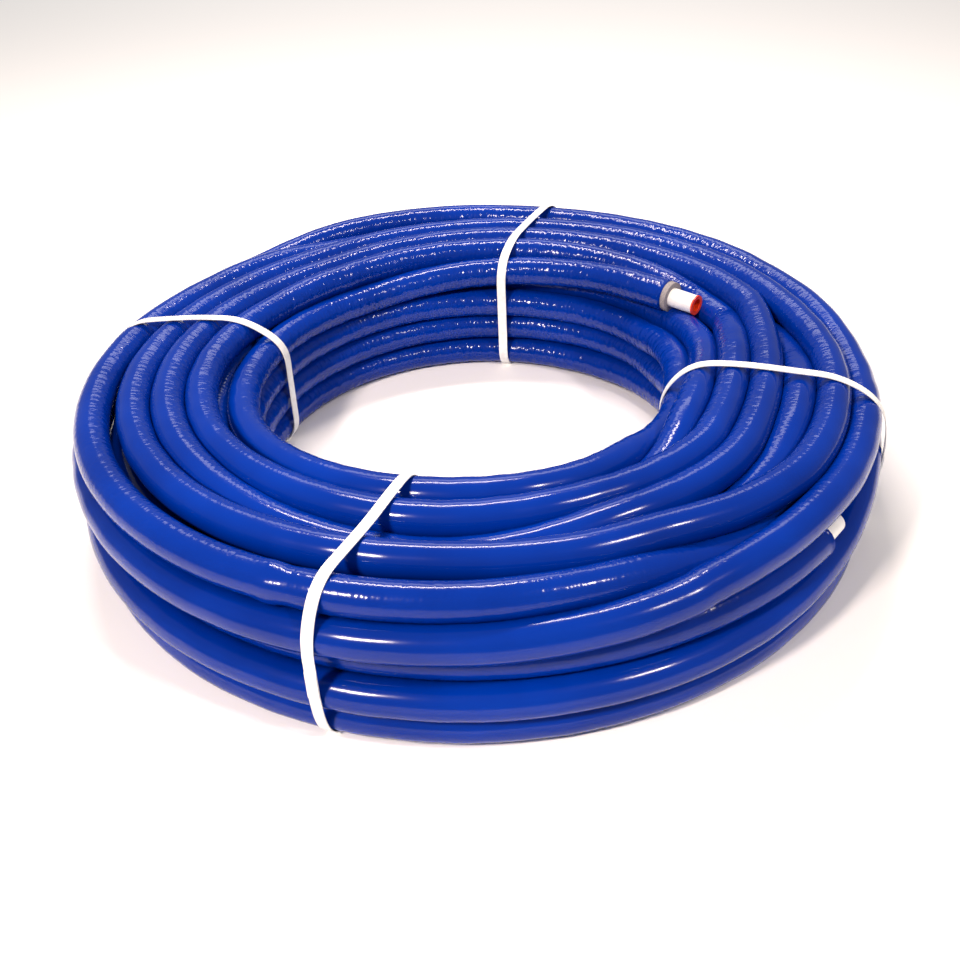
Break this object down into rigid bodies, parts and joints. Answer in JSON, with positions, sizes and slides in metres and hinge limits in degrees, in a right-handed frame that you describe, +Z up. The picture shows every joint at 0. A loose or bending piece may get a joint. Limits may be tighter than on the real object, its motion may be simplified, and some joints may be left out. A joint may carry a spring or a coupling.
{
  "type": "insulated multilayer pipe coil",
  "caption": "Coil of blue insulated multilayer water pipe lying flat, held by four white bands, with capped and open pipe ends.",
  "frame": {"origin": "on the axis of the coil, at the floor it lies on", "axes": "+Z up along the coil's axis; -Y is the front and +X the right side seen from there"},
  "size_m": [0.768, 0.768, 0.1467],
  "materials": {
    "film": "glossy film",
    "foam": "matte foam",
    "pipe": "satin",
    "cap": "satin",
    "band": "satin"
  },
  "bodies": {
    "root": {"pipe_coil": "film", "foam_end": "foam", "pipe_end_upper": "pipe", "end_cap": "cap", "pipe_end_lower": "pipe", "strap_front": "band", "strap_left": "band", "strap_back": "band", "strap_right": "band"}
  },
  "joints": []
}
